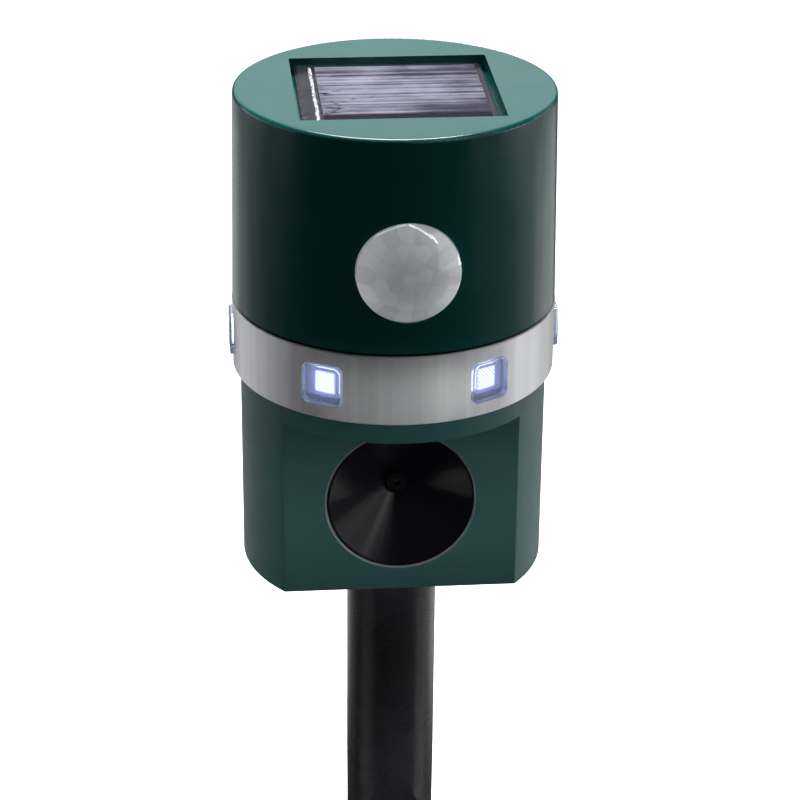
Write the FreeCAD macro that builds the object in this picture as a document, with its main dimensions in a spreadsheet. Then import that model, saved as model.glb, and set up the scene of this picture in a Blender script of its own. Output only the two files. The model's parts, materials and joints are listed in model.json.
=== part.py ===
import FreeCAD, Part

import math
import os
import re

import Sketcher
from FreeCAD import Placement, Rotation, Vector

# Solar ultrasonic pest repeller on a ground stake, in millimetres.
# The origin is on the stake's axis at the ground line, +Z is up, and the flat front
# that holds the horn faces -Y.

SIZES = {
    # Heights along the stake
    "head_base": "78",
    "stake_depth": "157",
    # How far a cutting tool runs past the face that it cuts
    "cut_over": "1",
    # Stake: a round shank, a spigot above it and a fluted blade below it
    "shank_radius": "13.69",
    "spigot_radius": "8",
    "spigot_height": "36",
    "spigot_chamfer": "1",
    "blade_radius": "13.2",
    "point_height": "42",
    "point_radius": "1.6",
    "flute_top": "4.5",
    "flute_scoop": "40",
    "flute_half_width": "9.7",
    "web_half": "2.5",
    # Swivel: the spigot turns in the socket of the lower housing
    "swivel_gap": "0.3",
    "swivel_play": "0.06",
    "socket_wall": "2.6",
    "socket_space": "1",
    # Housing shells
    "wall": "2.2",
    "base_wall": "2.6",
    "crown_wall": "2.4",
    "crown_round": "1.2",
    "lower_radius": "45.3",
    "lower_height": "61.6",
    "flat_distance": "29.6",
    "flat_height": "55.3",
    "upper_foot_radius": "47.4",
    "upper_top_radius": "46.3",
    "upper_height": "63",
    "lip_radius": "43.9",
    "lip_wall": "2.2",
    "lip_height": "3.8",
    "lip_step": "2",
    # Light band
    "band_radius": "47.5",
    "band_height": "21.8",
    "band_wall": "1.2",
    "band_chamfer": "0.35",
    "band_seam": "0.45",
    "seal_height": "0.4",
    "carrier_radius": "46.25",
    "carrier_inner": "44.1",
    # Light windows and the lights behind them
    "window_side": "12.2",
    "window_corner": "2",
    "window_opening": "20",
    "window_round": "0.7",
    "window_face": "48.5",
    "window_neck": "43.4",
    "window_play": "0.1",
    "window_flange": "13.4",
    "window_flange_wall": "0.9",
    "window_pocket": "7.2",
    "window_pocket_depth": "1.8",
    "window_pocket_corner": "0.4",
    "light_side": "6.2",
    "light_corner": "0.3",
    "light_depth": "1.6",
    "light_back": "42.25",
    "strip_radius": "42.2",
    "strip_wall": "0.3",
    "strip_height": "10",
    # Solar panel and its recess in the crown
    "recess_width": "57.8",
    "recess_length": "55.7",
    "recess_depth": "5",
    "recess_shift": "-0.45",
    "recess_corner": "0.8",
    "panel_side": "55",
    "pad_side": "42",
    "pad_wall": "0.8",
    "pad_corner": "2",
    "board_wall": "1.2",
    "cell_wall": "0.3",
    "cell_width": "47",
    "cell_centre": "2",
    "cell_pitch": "8.7",
    "cell_gap": "0.5",
    "busbar_width": "2.4",
    "busbar_centre": "-23.6",
    "resin_wall": "1.6",
    "resin_corner": "1.2",
    "resin_round": "0.9",
    "lead_slot_width": "8",
    "lead_slot_length": "3",
    # Motion sensor
    "lens_height": "107.9",
    "lens_radius": "14.6",
    "lens_wall": "0.8",
    "lens_crown": "6.4",
    "lens_reach": "52.2",
    "lens_seat": "41.3",
    "lens_flange": "1.2",
    "lens_flange_radius": "16.8",
    "lens_play": "0.12",
    "lens_boss_radius": "18",
    "lens_ring_radius": "17.2",
    "lens_ring_wall": "1.4",
    "lens_ring_gap": "0.05",
    "lens_ring_bore": "13.4",
    "sensor_board_front": "28.6",
    "sensor_board_wall": "1.6",
    "sensor_board_width": "31.8",
    "sensor_board_height": "32",
    "sensor_radius": "4.5",
    "sensor_rim": "4.9",
    "sensor_rim_wall": "0.5",
    "sensor_height": "4.4",
    "filter_width": "4.6",
    "filter_height": "3.6",
    "filter_wall": "0.3",
    "filter_corner": "0.3",
    "rail_wall": "2.4",
    "rail_depth": "5.6",
    "rail_lip": "0.7",
    "rail_play": "0.15",
    # Ultrasonic horn and its driver
    "horn_height": "29",
    "horn_hole": "21.75",
    "horn_hole_chamfer": "0.5",
    "horn_radius": "21.6",
    "horn_mouth": "21",
    "horn_start": "0.3",
    "horn_depth": "13.9",
    "horn_wall": "1.63",
    "horn_flange_radius": "25",
    "horn_flange_wall": "1.6",
    "horn_flange_front": "2.3",
    "nub_radius": "3.1",
    "nub_bore": "1.3",
    "nub_height": "1.5",
    "horn_back": "15.2",
    "skirt_radius": "14.3",
    "skirt_wall": "1.3",
    "skirt_end": "15.9",
    "disc_wall": "0.25",
    "ceramic_radius": "9.5",
    "ceramic_wall": "0.25",
    "cap_radius": "15.6",
    "cap_wall": "1.1",
    "cap_step": "1.9",
    "cap_front": "12",
    "cap_back": "18.6",
    "retainer_bore": "18.7",
    "retainer_wall": "1.5",
    "ear_reach": "28",
    "ear_radius": "3.2",
    "ear_step": "0.3",
    "horn_post_radius": "2.6",
    "horn_pilot_floor": "1",
    "horn_screw_length": "3.8",
    "horn_screw_head": "1.9",
    "horn_screw_head_height": "1.2",
    # Main board
    "board_radius": "41",
    "board_lift": "64.5",
    "board_parts_lift": "66.1",
    "chip_across": "-12",
    "chip_along": "8",
    "chip_side": "10",
    "chip_height": "1.6",
    "chip_corner": "0.3",
    "coil_across": "14",
    "coil_along": "6",
    "coil_radius": "5",
    "coil_winding": "3.6",
    "coil_height": "6",
    "coil_flange": "1",
    "capacitor_across": "-3",
    "capacitor_along": "-14",
    "capacitor_pitch": "9",
    "capacitor_radius": "3.15",
    "capacitor_height": "8",
    # Housing screws, in wells at the corners of a rectangle
    "screw_across": "33",
    "screw_along": "14",
    "post_radius": "4.3",
    "well_radius": "3.1",
    "well_depth": "56",
    "screw_head_radius": "2.8",
    "screw_head_height": "2",
    "screw_radius": "1.45",
    "screw_length": "16",
    "screw_play": "0.15",
    "pilot_play": "0.05",
    "board_gap": "0.1",
    # Battery
    "tray_centre": "25",
    "tray_width": "47",
    "tray_length": "17",
    "tray_top": "58.2",
    "well_top": "56.8",
    "cell_spacing": "15",
    "cell_radius": "7.1",
    "cell_play": "0.25",
    "cell_base": "5.7",
    "cell_height": "49",
    "cell_nub_radius": "2.7",
    "cell_nub_height": "1.1",
    "contact_radius": "5",
    "contact_wall": "0.4",
    "contact_gap": "0.05",
    "spring_radius": "2.8",
    "spring_wire": "0.3",
    "spring_pitch": "0.95",
    "spring_height": "2.35",
    "spring_base": "2.95",
    # Battery cover
    "cover_width": "49.2",
    "cover_length": "19",
    "cover_corner": "3",
    "cover_wall": "1.3",
    "cover_play": "0.2",
    "cover_ears": "62",
    "cover_ear_length": "7",
    "cover_ear_corner": "3.2",
    "cover_rebate": "1.9",
    "opening_width": "45.6",
    "opening_length": "15",
    "opening_corner": "1.5",
    "cover_plug_top": "2.55",
    "cover_plug_play": "0.3",
    "cover_seal_margin": "0.4",
    "cover_seal_gap": "0.05",
    "cover_seal_inset": "0.1",
    "cover_screw_across": "27.8",
    "cover_screw_radius": "1",
    "cover_screw_head": "2.1",
    "cover_screw_head_height": "0.9",
    "cover_screw_length": "8",
    "cover_boss_radius": "2.7",
    "cover_boss_top": "10.5",
    # Mode dial on the underside
    "dial_across": "29",
    "dial_along": "2",
    "dial_radius": "8",
    "dial_height": "6.2",
    "dial_chamfer": "0.8",
    "dial_gap": "0.3",
    "dial_stem_radius": "3",
    "dial_stem_top": "8.8",
    "dial_stem_space": "0.3",
    "dial_play": "0.08",
    "dial_scallop_radius": "1.1",
    "dial_scallop_centre": "8.7",
    "pointer_width": "1.2",
    "pointer_length": "6",
    "pointer_height": "0.3",
    "pointer_inset": "0.3",
    "switch_side": "13",
    "switch_corner": "0.6",
    "switch_base": "3",
    "switch_top": "11",
    "mark_radius": "0.6",
    "mark_height": "0.25",
    "mark_reach": "10.4",
}

LIGHT_ANGLES = [30 + 60 * turn for turn in range(6)]
DIAL_START = 100
DIAL_STEP = 45
DIAL_POSITIONS = 6
SCALLOPS = 16
CELL_STRIPS = 6
CAPACITORS = (-1, 0, 1)
BATTERY_CELLS = (-1, 0, 1)
SIDES = (-1, 1)

# A screw head's proportions: its top and shoulder to its radius and height, and its slots
HEAD_TOP = 0.8
HEAD_SHOULDER = 0.6
SLOT_REACH = 0.55
SLOT_WIDTH = 0.2
SLOT_DEPTH = 0.5

# Where a sketch's points start before their dimensions place them
ROUGH_CENTRE = 30
ROUGH_RADIUS = 10

PARALLEL = 0.99
TOLERANCE = 1e-6

# Levels and lengths that several pieces share, in the sheet's names
BAND_FOOT = "head_base + lower_height"
BAND_MIDDLE = "head_base + lower_height + band_height / 2"
BAND_TOP = "head_base + lower_height + band_height"
CROWN = "head_base + lower_height + band_height + upper_height"
RECESS_FLOOR = CROWN + " - recess_depth"
LENS = "head_base + lens_height"
HORN = "head_base + horn_height"
BOARD_TOP = RECESS_FLOOR + " + pad_wall + board_wall"
LENS_SPHERE = "(lens_radius ^ 2 + lens_crown ^ 2) / (2 * lens_crown)"

UPRIGHT = Rotation()
FORWARD = Rotation(Vector(1, 0, 0), 90)
INWARD = Rotation(Vector(1, 0, 0), -90)
CENTRE = ("0", "0", "0")

doc = FreeCAD.newDocument("pest_repeller")
subparts = []


def make_sheet():
    """Keep the driving dimensions in a spreadsheet, one alias to a row."""
    sheet = doc.addObject("Spreadsheet::Sheet", "Sizes")
    for row, (alias, value) in enumerate(SIZES.items(), start=1):
        sheet.set(f"A{row}", alias)
        sheet.set(f"B{row}", value)
        sheet.setAlias(f"B{row}", alias)
    doc.recompute()


def formula(text):
    """Write a formula in aliases as an expression that reads the sheet."""
    return re.sub(r"[a-z_]+", lambda word: named(word[0]), text)


def named(word):
    return "Sizes." + word if word in SIZES else word


def place(piece, at, turn=UPRIGHT):
    piece.Placement = Placement(Vector(), turn)
    for axis, text in zip("xyz", at):
        piece.setExpression("Placement.Base." + axis, formula(text))
    return piece


def primitive(kind, label, at, turn=UPRIGHT, **sizes):
    """A Part primitive whose sizes are formulas."""
    piece = doc.addObject("Part::" + kind, label)
    for name, text in sizes.items():
        piece.setExpression(name, formula(text))
    return place(piece, at, turn)


def cylinder(label, radius, height, at, turn=UPRIGHT):
    return primitive("Cylinder", label, at, turn, Radius=radius, Height=height)


def block(label, across, along, up):
    """A box between two formulas on each axis."""
    spans = {"Length": across, "Width": along, "Height": up}
    sizes = {name: f"({high}) - ({low})" for name, (low, high) in spans.items()}
    return primitive("Box", label, [across[0], along[0], up[0]], **sizes)


def around(half):
    """The two ends of a span centred on zero."""
    return f"-({half})", half


def join(label, *pieces):
    piece = doc.addObject("Part::MultiFuse", label)
    piece.Shapes = pieces
    return piece


def overlap(label, *pieces):
    piece = doc.addObject("Part::MultiCommon", label)
    piece.Shapes = pieces
    return piece


def cut(label, base, *tools):
    piece = doc.addObject("Part::Cut", label)
    piece.Base = base
    piece.Tool = tools[0] if len(tools) == 1 else join(label + "_tools", *tools)
    return piece


def group(label, pieces):
    piece = doc.addObject("Part::Compound", label)
    piece.Links = pieces
    return piece


def turned_copy(label, source, angle):
    """The source turned about the stake's axis."""
    return place(group(label, [source]), CENTRE, Rotation(Vector(0, 0, 1), angle))


def moved_copy(label, source, at):
    return place(group(label, [source]), at)


def keep(piece):
    """Hand in a piece under its label."""
    subparts.append(piece)
    return piece


def outline_sketch(body, plane_role, outline):
    """A closed sketch through points whose two coordinates are formulas."""
    plane = next(item for item in body.Origin.OriginFeatures if item.Role == plane_role)
    sketch = body.newObject("Sketcher::SketchObject", body.Label + "_outline")
    sketch.AttachmentSupport = [(plane, "")]
    sketch.MapMode = "FlatFace"
    count = len(outline)
    turns = [math.tau * step / count for step in range(count)]
    rough = [Vector(ROUGH_CENTRE + ROUGH_RADIUS * math.cos(turn), ROUGH_RADIUS * math.sin(turn))
             for turn in turns]
    for step in range(count):
        sketch.addGeometry(Part.LineSegment(rough[step], rough[(step + 1) % count]))
    for step in range(count):
        sketch.addConstraint(Sketcher.Constraint("Coincident", step, 2, (step + 1) % count, 1))
    for step, point in enumerate(outline):
        for kind, text, start in zip(("DistanceX", "DistanceY"), point, rough[step]):
            row = sketch.addConstraint(Sketcher.Constraint(kind, -1, 1, step, 1, start))
            sketch.setExpression(f"Constraints[{row}]", formula(text))
    return sketch


def turned(label, outline, at=CENTRE, turn=UPRIGHT):
    """A body turned about its own Z axis from (radius, height) formulas."""
    body = doc.addObject("PartDesign::Body", label)
    sketch = outline_sketch(body, "XZ_Plane", outline)
    revolution = body.newObject("PartDesign::Revolution", label + "_turning")
    revolution.Profile = sketch
    revolution.ReferenceAxis = (sketch, ["V_Axis"])
    revolution.Angle = 360
    return place(body, at, turn)


def rounded(body, kind, size, chosen):
    """Round or chamfer the edges of a body that a test picks out."""
    doc.recompute()
    shape = body.Tip.Shape
    names = [f"Edge{row}" for row, edge in enumerate(shape.Edges, start=1) if chosen(edge)]
    previous = body.Tip
    feature = body.newObject("PartDesign::" + kind, body.Label + "_" + kind.lower())
    feature.Base = (previous, names)
    feature.setExpression("Radius" if kind == "Fillet" else "Size", formula(size))
    return body


def is_upright(edge):
    return abs(edge.tangentAt(edge.FirstParameter).z) > PARALLEL


def is_at(edge, height):
    return max(abs(vertex.Point.z - height) for vertex in edge.Vertexes) < TOLERANCE


def is_circle(edge, radius):
    return edge.Closed and abs(edge.Curve.Radius - float(SIZES[radius])) < TOLERANCE


def plate(label, width, length, thickness, corner, at, turn=UPRIGHT, rim=None):
    """A rectangular plate with round corners, and with a round upper rim if one is given."""
    body = doc.addObject("PartDesign::Body", label)
    half_width = f"({width}) / 2"
    half_length = f"({length}) / 2"
    corners = [(f"-{half_width}", f"-{half_length}"), (half_width, f"-{half_length}"),
               (half_width, half_length), (f"-{half_width}", half_length)]
    sketch = outline_sketch(body, "XY_Plane", corners)
    pad = body.newObject("PartDesign::Pad", label + "_pad")
    pad.Profile = sketch
    pad.setExpression("Length", formula(thickness))
    rounded(body, "Fillet", corner, is_upright)
    if rim:
        doc.recompute()
        top = body.Tip.Shape.BoundBox.ZMax
        rounded(body, "Fillet", rim, lambda edge: is_at(edge, top))
    return place(body, at, turn)


def screw(label, radius, length, head_radius, head_height, at, turn=UPRIGHT):
    """A pan head screw with a cross recess, pointing up from the underside of its head."""
    outline = [("0", f"-{head_height}"), (f"{head_radius} * {HEAD_TOP}", f"-{head_height}"),
               (head_radius, f"-{head_height} * {HEAD_SHOULDER}"), (head_radius, "0"), (radius, "0"),
               (radius, f"{length} - {radius}"), ("0", length)]
    body = turned(label + "_blank", outline)
    reach, width = f"{head_radius} * {SLOT_REACH}", f"{radius} * {SLOT_WIDTH}"
    slots = [block(f"{label}_slot_{name}", around(across), around(along),
                   (f"-{head_height} - cut_over", f"-{head_height} * {SLOT_DEPTH}"))
             for name, across, along in (("wide", reach, width), ("long", width, reach))]
    return place(cut(label, body, *slots), at, turn)


def make_stake():
    """Round shank with the swivel spigot above and a two-fluted pointed blade below."""
    shoulder = "head_base - swivel_gap"
    tip = "head_base + spigot_height"
    outline = [("0", "-stake_depth"), ("point_radius", "-stake_depth"),
               ("blade_radius", "-stake_depth + point_height"), ("shank_radius", "flute_top"),
               ("shank_radius", shoulder),
               ("spigot_radius", shoulder), ("spigot_radius", tip + " - spigot_chamfer"),
               ("spigot_radius - spigot_chamfer", tip), ("0", tip)]
    shank = turned("stake_shank", outline)
    scoop = cylinder("flute_scoop_round", "flute_scoop", "4 * flute_half_width",
                     ("-2 * flute_half_width", "flute_scoop - shank_radius", "flute_top"),
                     Rotation(Vector(0, 1, 0), 90))
    trough = block("flute_trough", around("flute_half_width"), ("-2 * shank_radius", "-web_half"),
                   ("-stake_depth - cut_over", "flute_top"))
    front_flute = cut("front_flute", trough, scoop)
    back_flute = turned_copy("back_flute", front_flute, 180)
    keep(cut("ground_stake", shank, front_flute, back_flute))


def at_screws(label, make):
    """Make one piece at each of the four housing screws."""
    return [make(f"{label}_{row}", f"{side} * screw_across", f"{end} * screw_along")
            for row, (side, end) in enumerate(((s, e) for s in SIDES for e in SIDES), start=1)]


def make_lower_housing():
    """Cup with a flat front, a full round collar above it, the swivel socket and screw wells."""
    inside = "lower_radius - wall"
    lip_inside = "lip_radius - lip_wall"
    bore = "spigot_radius + swivel_play"
    socket_top = "spigot_height + socket_space"
    outline = [(bore, "0"), ("lower_radius", "0"), ("lower_radius", "lower_height"),
               ("lip_radius", "lower_height"), ("lip_radius", "lower_height + lip_height"),
               (lip_inside, "lower_height + lip_height"), (lip_inside, "lower_height - lip_step"),
               (inside, "lower_height - lip_step"), (inside, "base_wall"),
               (bore + " + socket_wall", "base_wall"),
               (bore + " + socket_wall", socket_top + " + wall"), ("0", socket_top + " + wall"),
               ("0", socket_top), (bore, socket_top)]
    cup = turned("lower_cup", outline, ("0", "0", "head_base"))
    flat_cutter = block("flat_cutter", around("2 * lower_radius"),
                        ("-2 * lower_radius", "-flat_distance"),
                        ("head_base - cut_over", "head_base + flat_height"))
    open_cup = cut("open_cup", cup, flat_cutter)

    front = block("front_wall", around("lower_radius"), ("-flat_distance", "-flat_distance + wall"),
                  ("head_base", "head_base + flat_height + wall"))
    ledge = block("collar_ledge", around("lower_radius"), ("-lower_radius", "-flat_distance + wall"),
                  ("head_base + flat_height", "head_base + flat_height + wall"))
    round_limit = cylinder("collar_limit", "lower_radius", "lower_height", ("0", "0", "head_base"))
    closing = overlap("front_closing", join("front_and_ledge", front, ledge), round_limit)

    posts = at_screws("lower_post", lambda label, x, y: cylinder(
        label, "post_radius", "board_lift - board_gap", (x, y, "head_base")))
    horn_posts = [cylinder(f"horn_post_{row}", "horn_post_radius",
                           "horn_flange_front + horn_flange_wall + ear_step - wall / 2",
                           (x, "-flat_distance + wall / 2", z), INWARD)
                  for row, (x, z) in enumerate(horn_ear_places(), start=1)]
    cover_bosses = [cylinder(f"cover_boss_{row}", "cover_boss_radius", "cover_boss_top - cover_rebate",
                             (f"{side} * cover_screw_across", "tray_centre", "head_base + cover_rebate"))
                    for row, side in enumerate(SIDES, start=1)]
    solid = join("lower_solid", open_cup, closing, *posts, *horn_posts, *cover_bosses)

    wells = at_screws("screw_well", lambda label, x, y: cylinder(
        label, "well_radius", "well_depth + cut_over", (x, y, "head_base - cut_over")))
    clearances = at_screws("screw_clearance", lambda label, x, y: cylinder(
        label, "screw_radius + screw_play", "board_lift", (x, y, "head_base")))
    horn_hole = cylinder("horn_hole", "horn_hole", "2 * wall",
                         ("0", "-flat_distance - wall / 2", HORN), INWARD)
    horn_rim = primitive("Cone", "horn_hole_chamfer", ("0", "-flat_distance - cut_over", HORN), INWARD,
                         Radius1="horn_hole + horn_hole_chamfer + cut_over", Radius2="horn_hole",
                         Height="horn_hole_chamfer + cut_over")
    horn_pilots = [cylinder(f"horn_pilot_{row}", "cover_screw_radius + pilot_play", "2 * wall",
                            (x, "-flat_distance + horn_pilot_floor", z), INWARD)
                   for row, (x, z) in enumerate(horn_ear_places(), start=1)]
    dial_hole = cylinder("dial_hole", "dial_stem_radius + dial_play", "2 * base_wall",
                         ("dial_across", "dial_along", "head_base - cut_over"))
    opening = plate("battery_opening", "opening_width", "opening_length", "2 * base_wall",
                    "opening_corner", ("0", "tray_centre", "head_base - cut_over"))
    rebate = cover_outline("cover_rebate", "cover_play", "cover_rebate + cut_over", "head_base - cut_over")
    cover_pilots = [cylinder(f"cover_pilot_{row}", "cover_screw_radius + pilot_play", "cover_boss_top",
                             (f"{side} * cover_screw_across", "tray_centre", "head_base - cut_over"))
                    for row, side in enumerate(SIDES, start=1)]
    keep(cut("lower_housing", solid, *wells, *clearances, horn_hole, horn_rim, *horn_pilots, dial_hole,
             opening, rebate, *cover_pilots))


def make_upper_housing():
    """Green cap with the panel recess, the lens hole, board rails and four screw posts."""
    lip_inside = "lip_radius - lip_wall"
    ceiling = "upper_height - crown_wall"
    outline = [("upper_foot_radius", "0"), ("upper_top_radius", "upper_height"),
               ("0", "upper_height"), ("0", ceiling), ("upper_top_radius - wall", ceiling),
               ("upper_foot_radius - wall", "lip_step"), (lip_inside, "lip_step"),
               (lip_inside, "-lip_height"), ("lip_radius", "-lip_height"), ("lip_radius", "0")]
    cap = turned("upper_cap", outline, ("0", "0", BAND_TOP))
    rounded(cap, "Fillet", "crown_round", lambda edge: is_circle(edge, "upper_top_radius"))

    tray_half = "recess_width / 2 + wall"
    tray_span = ("recess_shift - recess_length / 2 - wall", "recess_shift + recess_length / 2 + wall")
    tray = block("recess_tray", around(tray_half), tray_span,
                 (RECESS_FLOOR + " - wall", CROWN + " - crown_wall / 2"))
    cap_limit = primitive("Cone", "cap_limit", ("0", "0", BAND_TOP), Radius1="upper_foot_radius",
                          Radius2="upper_top_radius", Height="upper_height")
    lens_boss = overlap("lens_boss", cap_limit, cylinder(
        "lens_boss_round", "lens_boss_radius", "band_radius - lens_seat",
        ("0", "-lens_seat", LENS), FORWARD))
    post_foot = "head_base + board_parts_lift + board_gap"
    posts = at_screws("upper_post", lambda label, x, y: cylinder(
        label, "post_radius", f"{CROWN} - crown_wall / 2 - ({post_foot})", (x, y, post_foot)))
    rails = [make_rail(f"board_rail_{row}", side) for row, side in enumerate(SIDES, start=1)]
    solid = join("upper_solid", cap, tray, lens_boss, *posts, *rails)

    recess = plate("panel_recess", "recess_width", "recess_length", "recess_depth + cut_over",
                   "recess_corner", ("0", "recess_shift", RECESS_FLOOR))
    slot = block("lead_slot", around("lead_slot_width / 2"),
                 ("recess_length / 4", "recess_length / 4 + lead_slot_length"),
                 (RECESS_FLOOR + " - 2 * wall", RECESS_FLOOR + " + cut_over"))
    lens_hole = cylinder("lens_hole", "lens_radius + lens_play", "band_radius",
                         ("0", "-lens_seat + wall", LENS), FORWARD)
    pilots = at_screws("upper_pilot", lambda label, x, y: cylinder(
        label, "screw_radius + pilot_play", "screw_length", (x, y, post_foot + " - cut_over")))
    keep(cut("upper_housing", solid, recess, slot, lens_hole, *pilots))


def make_rail(label, side):
    """A slotted rail that hangs from the recess tray and holds one edge of the sensor board."""
    edge = "sensor_board_width / 2"
    back = "sensor_board_front - sensor_board_wall"
    middle = f"(sensor_board_front + {back}) / 2"
    foot = LENS + " - sensor_board_height / 2"
    near, far = f"{side} * ({edge} - rail_lip)", f"{side} * ({edge} + rail_wall)"
    groove_near = f"{side} * ({edge} - rail_lip - cut_over)"
    groove_far = f"{side} * ({edge} + rail_play)"
    across = (near, far) if side > 0 else (far, near)
    groove_across = (groove_near, groove_far) if side > 0 else (groove_far, groove_near)
    rail = block(label + "_bar", across, (f"-({middle}) - rail_depth / 2", f"-({middle}) + rail_depth / 2"),
                 (foot, RECESS_FLOOR + " - wall / 2"))
    groove = block(label + "_groove", groove_across,
                   ("-sensor_board_front - rail_play", f"-({back}) + rail_play"),
                   (foot + " - cut_over", LENS + " + sensor_board_height / 2 + rail_play"))
    return cut(label, rail, groove)


def make_band():
    """Silver ring over a black carrier, with a seal at each end and six square openings."""
    opening_side = "window_side + 2 * window_play"
    opening = plate("window_opening", opening_side, opening_side, "window_opening",
                    "window_corner + window_play",
                    ("0", "-carrier_inner + window_opening / 2", BAND_MIDDLE), FORWARD)
    openings = join("window_openings", *[turned_copy(f"window_opening_{row}", opening, angle)
                                         for row, angle in enumerate(LIGHT_ANGLES, start=1)])
    skin = "band_radius - band_wall"
    ring = turned("band_ring", [(skin, "band_seam"), ("band_radius", "band_seam"),
                                ("band_radius", "band_height - band_seam"),
                                (skin, "band_height - band_seam")], ("0", "0", BAND_FOOT))
    rounded(ring, "Chamfer", "band_chamfer", lambda edge: is_circle(edge, "band_radius"))
    keep(cut("light_band", ring, openings))

    carrier = turned("carrier_ring", [("carrier_inner", "seal_height"), ("carrier_radius", "seal_height"),
                                      ("carrier_radius", "band_height - seal_height"),
                                      ("carrier_inner", "band_height - seal_height")],
                     ("0", "0", BAND_FOOT))
    keep(cut("band_carrier", carrier, openings))
    for label, foot in (("lower_seal", BAND_FOOT), ("upper_seal", BAND_TOP + " - seal_height")):
        keep(turned(label, [("carrier_inner", "0"), ("carrier_radius", "0"),
                            ("carrier_radius", "seal_height"), ("carrier_inner", "seal_height")],
                    ("0", "0", foot)))


def make_lights():
    """Six clear windows, the lights behind them and the flexible strip that carries the lights."""
    neck = plate("window_neck", "window_side", "window_side", "window_face - window_neck",
                 "window_corner", ("0", "-window_neck", BAND_MIDDLE), FORWARD, rim="window_round")
    flange = plate("window_flange", "window_flange", "window_flange", "window_flange_wall",
                   "window_corner", ("0", "-window_neck + window_flange_wall", BAND_MIDDLE), FORWARD)
    pocket = plate("window_pocket", "window_pocket", "window_pocket", "window_pocket_depth + cut_over",
                   "window_pocket_corner",
                   ("0", "-window_neck + window_flange_wall + cut_over", BAND_MIDDLE), FORWARD)
    window = cut("window_pattern", join("window_solid", neck, flange), pocket)
    light = plate("light_pattern", "light_side", "light_side", "light_depth", "light_corner",
                  ("0", "-light_back", BAND_MIDDLE), FORWARD)
    for row, angle in enumerate(LIGHT_ANGLES, start=1):
        keep(turned_copy(f"light_window_{row}", window, angle))
        keep(turned_copy(f"light_{row}", light, angle))
    keep(turned("light_strip", [("strip_radius - strip_wall", "-strip_height / 2"),
                                ("strip_radius", "-strip_height / 2"), ("strip_radius", "strip_height / 2"),
                                ("strip_radius - strip_wall", "strip_height / 2")],
                ("0", "0", BAND_MIDDLE)))


def make_panel():
    """Solar panel: pad, board, cell strips, busbar and the clear resin over them."""
    keep(plate("panel_pad", "pad_side", "pad_side", "pad_wall", "pad_corner",
               ("0", "recess_shift", RECESS_FLOOR)))
    keep(plate("solar_board", "panel_side", "panel_side", "board_wall", "resin_corner",
               ("0", "recess_shift", RECESS_FLOOR + " + pad_wall")))
    strips = [block(f"cell_strip_{row + 1}",
                    ("cell_centre - cell_width / 2", "cell_centre + cell_width / 2"),
                    (f"recess_shift + {row - CELL_STRIPS / 2} * cell_pitch + cell_gap / 2",
                     f"recess_shift + {row + 1 - CELL_STRIPS / 2} * cell_pitch - cell_gap / 2"),
                    (BOARD_TOP, BOARD_TOP + " + cell_wall"))
              for row in range(CELL_STRIPS)]
    keep(group("solar_cells", strips))
    half_run = f"{CELL_STRIPS / 2} * cell_pitch - cell_gap / 2"
    keep(block("cell_busbar", ("busbar_centre - busbar_width / 2", "busbar_centre + busbar_width / 2"),
               (f"recess_shift - ({half_run})", f"recess_shift + {half_run}"),
               (BOARD_TOP, BOARD_TOP + " + cell_wall")))
    keep(plate("panel_resin", "panel_side", "panel_side", "resin_wall", "resin_corner",
               ("0", "recess_shift", BOARD_TOP + " + cell_wall"), rim="resin_round"))


def make_sensor():
    """Domed lens with its retaining ring, and the infrared sensor on its upright board."""
    depth = "lens_reach - lens_seat + 2 * lens_flange"
    back = "-lens_seat + lens_flange"
    globe_y = f"-lens_reach + {LENS_SPHERE}"
    outer = overlap("lens_outer",
                    cylinder("lens_skirt", "lens_radius", depth, ("0", back, LENS), FORWARD),
                    primitive("Sphere", "lens_globe", ("0", globe_y, LENS), FORWARD, Radius=LENS_SPHERE))
    inner = overlap("lens_inner",
                    cylinder("lens_hollow", "lens_radius - lens_wall", depth,
                             ("0", back + " + cut_over", LENS), FORWARD),
                    primitive("Sphere", "lens_inner_globe", ("0", globe_y, LENS), FORWARD,
                              Radius=LENS_SPHERE + " - lens_wall"))
    flange = cylinder("lens_flange", "lens_flange_radius", "lens_flange", ("0", back, LENS), FORWARD)
    keep(cut("pir_lens", join("lens_solid", outer, flange), inner))
    keep(turned("pir_lens_ring", [("lens_ring_bore", "lens_ring_gap"), ("lens_ring_radius", "lens_ring_gap"),
                                  ("lens_ring_radius", "lens_ring_wall"),
                                  ("lens_ring_bore", "lens_ring_wall")], ("0", back, LENS), INWARD))

    front = "-sensor_board_front"
    keep(block("pir_board", around("sensor_board_width / 2"), (front, front + " + sensor_board_wall"),
               (LENS + " - sensor_board_height / 2", LENS + " + sensor_board_height / 2")))
    keep(turned("pir_sensor", [("0", "0"), ("sensor_rim", "0"), ("sensor_rim", "sensor_rim_wall"),
                               ("sensor_radius", "sensor_rim_wall"), ("sensor_radius", "sensor_height"),
                               ("0", "sensor_height")], ("0", front, LENS), FORWARD))
    keep(plate("pir_window", "filter_width", "filter_height", "filter_wall", "filter_corner",
               ("0", front + " - sensor_height", LENS), FORWARD))


def horn_ear_places():
    """Places of the retainer's four ears, on the diagonals about the horn's axis."""
    reach = "ear_reach / sqrt(2)"
    return [(f"{side} * {reach}", f"{HORN} + {end} * {reach}") for side in SIDES for end in SIDES]


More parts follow.
